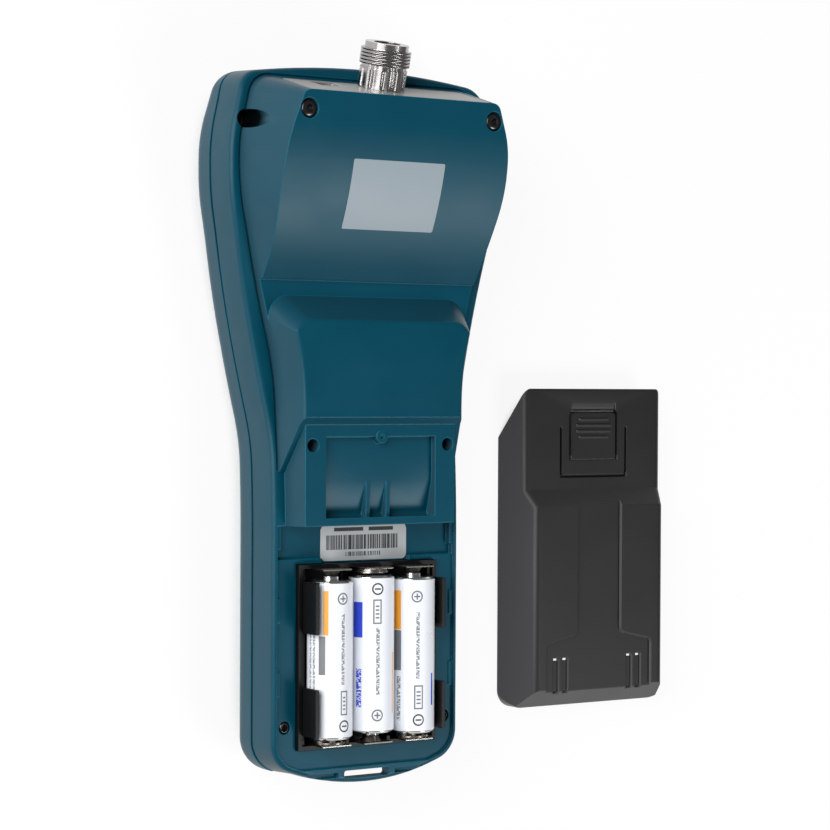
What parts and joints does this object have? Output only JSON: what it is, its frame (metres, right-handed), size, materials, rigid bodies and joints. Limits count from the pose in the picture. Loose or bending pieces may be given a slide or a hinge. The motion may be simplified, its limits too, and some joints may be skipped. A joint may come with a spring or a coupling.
{
  "type": "antenna analyzer",
  "caption": "Hand-held antenna analyzer lying face down: flared head with a threaded antenna socket, open battery bay with cells, and its battery cover beside it.",
  "frame": {"origin": "on the bench, on the front's keypad rim, under the middle of the case", "axes": "+Y along the case towards the antenna socket, +Z out of the back, +X to the right when the back is looked at with the socket at the top"},
  "size_m": [0.1872, 0.2344, 0.0485],
  "materials": {
    "case_blue": "fine matt grain",
    "black_rubber": "matt",
    "grey_rubber": "matt",
    "window": "clear",
    "black_plastic": "matt",
    "grey_plastic": "matt",
    "cover_grey": "fine matt grain",
    "key_grey": "satin",
    "board": "solder mask",
    "white_insulator": "smooth",
    "label": "bare foil",
    "cell_sleeve": "printed film",
    "bright_steel": "bright",
    "nickel": "nickel plate",
    "tinned_steel": "tinned",
    "spring_steel": "bright",
    "black_steel": "black oxide",
    "brass": "plated",
    "gold": "gold plate"
  },
  "bodies": {
    "case": {"rear_housing": "case_blue", "front_housing": "case_blue", "case_seal": "black_rubber", "display_window": "window", "display_module": "black_plastic", "display_frame": "black_plastic", "keypad_mat": "grey_rubber", "dome_switches": "spring_steel", "main_board": "board", "board_screws": "black_steel", "rf_shield": "tinned_steel", "radio_module": "tinned_steel", "buzzer": "black_plastic", "top_panel": "grey_plastic", "connector_shell": "nickel", "connector_insulator": "white_insulator", "connector_contact": "gold", "connector_nut": "nickel", "usb_socket": "tinned_steel", "battery_tray": "black_plastic", "contact_springs": "brass", "contact_plates": "brass", "rear_label": "label", "bay_label": "label", "case_screws_top": "black_steel", "case_screws_waist": "black_steel", "case_screws_bottom": "black_steel", "case_screws_flank": "black_steel"},
    "key_1_1_body": {"key_1_1": "key_grey"},
    "key_1_2_body": {"key_1_2": "key_grey"},
    "key_1_3_body": {"key_1_3": "key_grey"},
    "key_1_4_body": {"key_1_4": "key_grey"},
    "key_2_1_body": {"key_2_1": "key_grey"},
    "key_2_2_body": {"key_2_2": "key_grey"},
    "key_2_3_body": {"key_2_3": "key_grey"},
    "key_2_4_body": {"key_2_4": "key_grey"},
    "key_3_1_body": {"key_3_1": "key_grey"},
    "key_3_2_body": {"key_3_2": "key_grey"},
    "key_3_3_body": {"key_3_3": "key_grey"},
    "key_3_4_body": {"key_3_4": "key_grey"},
    "key_4_1_body": {"key_4_1": "key_grey"},
    "key_4_2_body": {"key_4_2": "key_grey"},
    "key_4_3_body": {"key_4_3": "key_grey"},
    "key_4_4_body": {"key_4_4": "key_grey"},
    "power_key_body": {"power_key": "key_grey"},
    "cell_left": {"cell_left_can": "bright_steel", "cell_left_sleeve": "cell_sleeve"},
    "cell_middle": {"cell_middle_can": "bright_steel", "cell_middle_sleeve": "cell_sleeve"},
    "cell_right": {"cell_right_can": "bright_steel", "cell_right_sleeve": "cell_sleeve"},
    "cover": {"battery_cover": "cover_grey"},
    "latch": {"cover_latch": "cover_grey"}
  },
  "joints": [
    {"name": "key_1_1_press", "type": "slide", "parent": "case", "child": "key_1_1_body", "axis": [0, 0, 1], "range_m": [0, 0.0008], "stiffness_N_per_m": 1200},
    {"name": "key_1_2_press", "type": "slide", "parent": "case", "child": "key_1_2_body", "axis": [0, 0, 1], "range_m": [0, 0.0008], "stiffness_N_per_m": 1200},
    {"name": "key_1_3_press", "type": "slide", "parent": "case", "child": "key_1_3_body", "axis": [0, 0, 1], "range_m": [0, 0.0008], "stiffness_N_per_m": 1200},
    {"name": "key_1_4_press", "type": "slide", "parent": "case", "child": "key_1_4_body", "axis": [0, 0, 1], "range_m": [0, 0.0008], "stiffness_N_per_m": 1200},
    {"name": "key_2_1_press", "type": "slide", "parent": "case", "child": "key_2_1_body", "axis": [0, 0, 1], "range_m": [0, 0.0008], "stiffness_N_per_m": 1200},
    {"name": "key_2_2_press", "type": "slide", "parent": "case", "child": "key_2_2_body", "axis": [0, 0, 1], "range_m": [0, 0.0008], "stiffness_N_per_m": 1200},
    {"name": "key_2_3_press", "type": "slide", "parent": "case", "child": "key_2_3_body", "axis": [0, 0, 1], "range_m": [0, 0.0008], "stiffness_N_per_m": 1200},
    {"name": "key_2_4_press", "type": "slide", "parent": "case", "child": "key_2_4_body", "axis": [0, 0, 1], "range_m": [0, 0.0008], "stiffness_N_per_m": 1200},
    {"name": "key_3_1_press", "type": "slide", "parent": "case", "child": "key_3_1_body", "axis": [0, 0, 1], "range_m": [0, 0.0008], "stiffness_N_per_m": 1200},
    {"name": "key_3_2_press", "type": "slide", "parent": "case", "child": "key_3_2_body", "axis": [0, 0, 1], "range_m": [0, 0.0008], "stiffness_N_per_m": 1200},
    {"name": "key_3_3_press", "type": "slide", "parent": "case", "child": "key_3_3_body", "axis": [0, 0, 1], "range_m": [0, 0.0008], "stiffness_N_per_m": 1200},
    {"name": "key_3_4_press", "type": "slide", "parent": "case", "child": "key_3_4_body", "axis": [0, 0, 1], "range_m": [0, 0.0008], "stiffness_N_per_m": 1200},
    {"name": "key_4_1_press", "type": "slide", "parent": "case", "child": "key_4_1_body", "axis": [0, 0, 1], "range_m": [0, 0.0008], "stiffness_N_per_m": 1200},
    {"name": "key_4_2_press", "type": "slide", "parent": "case", "child": "key_4_2_body", "axis": [0, 0, 1], "range_m": [0, 0.0008], "stiffness_N_per_m": 1200},
    {"name": "key_4_3_press", "type": "slide", "parent": "case", "child": "key_4_3_body", "axis": [0, 0, 1], "range_m": [0, 0.0008], "stiffness_N_per_m": 1200},
    {"name": "key_4_4_press", "type": "slide", "parent": "case", "child": "key_4_4_body", "axis": [0, 0, 1], "range_m": [0, 0.0008], "stiffness_N_per_m": 1200},
    {"name": "power_key_press", "type": "slide", "parent": "case", "child": "power_key_body", "axis": [0, 0, 1], "range_m": [0, 0.0008], "stiffness_N_per_m": 1200},
    {"name": "cell_left_lift", "type": "slide", "parent": "case", "child": "cell_left", "axis": [0, 0, 1], "range_m": [0, 0.03]},
    {"name": "cell_middle_lift", "type": "slide", "parent": "case", "child": "cell_middle", "axis": [0, 0, 1], "range_m": [0, 0.03]},
    {"name": "cell_right_lift", "type": "slide", "parent": "case", "child": "cell_right", "axis": [0, 0, 1], "range_m": [0, 0.03]},
    {"name": "cover_lift", "type": "slide", "parent": "case", "child": "cover", "axis": [0, 0, 1], "range_m": [0, 0.06]},
    {"name": "latch_press", "type": "hinge", "parent": "cover", "child": "latch", "pos_m": [0.103, -0.01145, 0.009], "axis": [-1, 0, 0], "range_deg": [0, 5], "stiffness_Nm_per_rad": 0.8}
  ]
}
